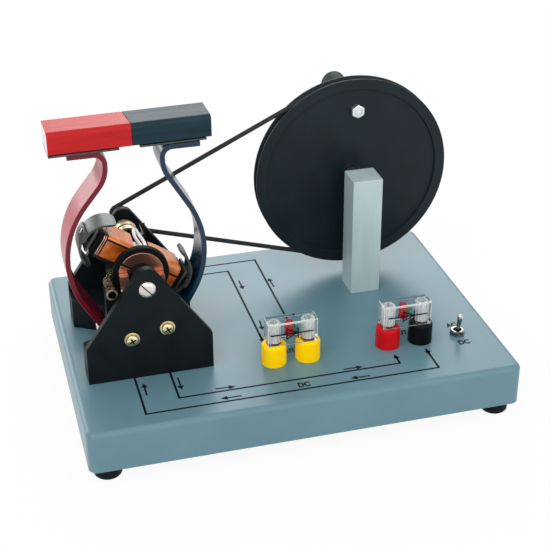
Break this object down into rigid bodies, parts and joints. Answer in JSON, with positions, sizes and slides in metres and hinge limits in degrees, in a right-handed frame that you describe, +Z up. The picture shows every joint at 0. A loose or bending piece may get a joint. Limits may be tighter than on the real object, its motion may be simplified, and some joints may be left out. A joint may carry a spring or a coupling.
{
  "type": "demonstration electric motor",
  "caption": "Hand-cranked classroom motor and generator: belt-driven armature between pole strips under a bar magnet, on a flat base with sockets and a switch.",
  "frame": {"origin": "middle of the whole outline on the surface that the rubber feet stand on", "axes": "+X to the right along the base with the wheel at the right, +Y to the back where the crank grip points, +Z up"},
  "size_m": [0.2379, 0.178, 0.1647],
  "materials": {
    "base_paint": "satin blue-grey paint",
    "cover_black": "matte black",
    "rubber_black": "matte black rubber",
    "black_plastic": "matte black moulding",
    "zinc_steel": "yellow passivated zinc",
    "bright_steel": "nickel-plated",
    "plain_steel": "machined",
    "dark_steel": "blued sheet",
    "strip_red": "crimson gloss paint",
    "strip_blue": "dark blue gloss paint",
    "magnet_red": "red enamel",
    "magnet_blue": "blue-slate enamel",
    "copper": "bare copper",
    "brass": "turned brass",
    "coil_tape": "orange insulating tape over the winding",
    "post_paint": "light blue-grey satin paint",
    "wheel_black": "satin black moulding",
    "grip_grey": "matte dark grey",
    "belt_rubber": "matte black round belt",
    "socket_yellow": "gloss yellow",
    "socket_red": "gloss red",
    "socket_black": "gloss black",
    "clear_plastic": "clear acrylic",
    "led_red": "tinted resin",
    "lead_white": "white insulation"
  },
  "bodies": {
    "frame": {"base_tray": "base_paint", "bottom_cover": "cover_black", "rubber_feet": "rubber_black", "foot_screws": "zinc_steel", "front_bearing_plate": "black_plastic", "rear_bearing_plate": "black_plastic", "pole_block": "black_plastic", "block_screws": "zinc_steel", "pivot_screw": "bright_steel", "rear_bush": "brass", "red_pole_strip": "strip_red", "blue_pole_strip": "strip_blue", "strip_screws": "bright_steel", "dc_brushes": "copper", "ac_brushes": "copper", "brush_screws": "zinc_steel", "brush_washers": "zinc_steel", "brush_nuts": "zinc_steel", "terminal_sleeve": "brass", "terminal_post": "black_plastic", "support_post": "post_paint", "post_screw": "zinc_steel", "axle": "plain_steel", "axle_spacer": "plain_steel", "drive_belt": "belt_rubber", "yellow_sockets": "socket_yellow", "red_socket": "socket_red", "black_socket": "socket_black", "socket_contacts": "brass", "socket_nuts": "bright_steel", "toggle_body": "bright_steel", "toggle_nut": "bright_steel"},
    "magnet": {"magnet_red_half": "magnet_red", "magnet_blue_half": "magnet_blue", "magnet_plates": "dark_steel"},
    "armature": {"armature_shaft": "plain_steel", "armature_core": "plain_steel", "bobbins": "black_plastic", "coils": "coil_tape", "end_caps": "dark_steel", "pole_shoes": "dark_steel", "pole_screws": "bright_steel", "commutator_disc": "black_plastic", "commutator_segments": "copper", "slip_ring_hub": "black_plastic", "slip_rings": "brass", "armature_leads": "lead_white", "small_pulley": "black_plastic"},
    "crank_wheel": {"wheel": "wheel_black", "crank_bolt": "bright_steel", "crank_nut": "bright_steel"},
    "grip": {"crank_grip": "grip_grey"},
    "left_plug": {"left_led_block": "clear_plastic", "left_led_pins": "bright_steel", "left_leds": "led_red"},
    "right_plug": {"right_led_block": "clear_plastic", "right_led_pins": "bright_steel", "right_leds": "led_red"},
    "lever": {"toggle_lever": "bright_steel"}
  },
  "joints": [
    {"name": "wheel_spin", "type": "hinge", "parent": "frame", "child": "crank_wheel", "pos_m": [0.06085, 0.04297, 0.0963], "axis": [0, 1, 0], "continuous": true},
    {"name": "grip_spin", "type": "hinge", "parent": "crank_wheel", "child": "grip", "pos_m": [0.06323, 0.06853, 0.13513], "axis": [0, 1, 0], "continuous": true},
    {"name": "armature_spin", "type": "hinge", "parent": "frame", "child": "armature", "pos_m": [-0.07705, -0.00543, 0.0851], "axis": [0, 1, 0], "continuous": true},
    {"name": "magnet_lift", "type": "slide", "parent": "frame", "child": "magnet", "axis": [0, 0, 1], "range_m": [0, 0.05]},
    {"name": "left_plug_pull", "type": "slide", "parent": "frame", "child": "left_plug", "axis": [0, 0, 1], "range_m": [0, 0.03]},
    {"name": "right_plug_pull", "type": "slide", "parent": "frame", "child": "right_plug", "axis": [0, 0, 1], "range_m": [0, 0.03]},
    {"name": "lever_tilt", "type": "hinge", "parent": "frame", "child": "lever", "pos_m": [0.09545, -0.04832, 0.0324], "axis": [1, 0, 0], "range_deg": [-24, 0]}
  ],
  "couplings": [
    {"joint": "armature_spin", "follows": "wheel_spin", "ratio": 12.977}
  ]
}
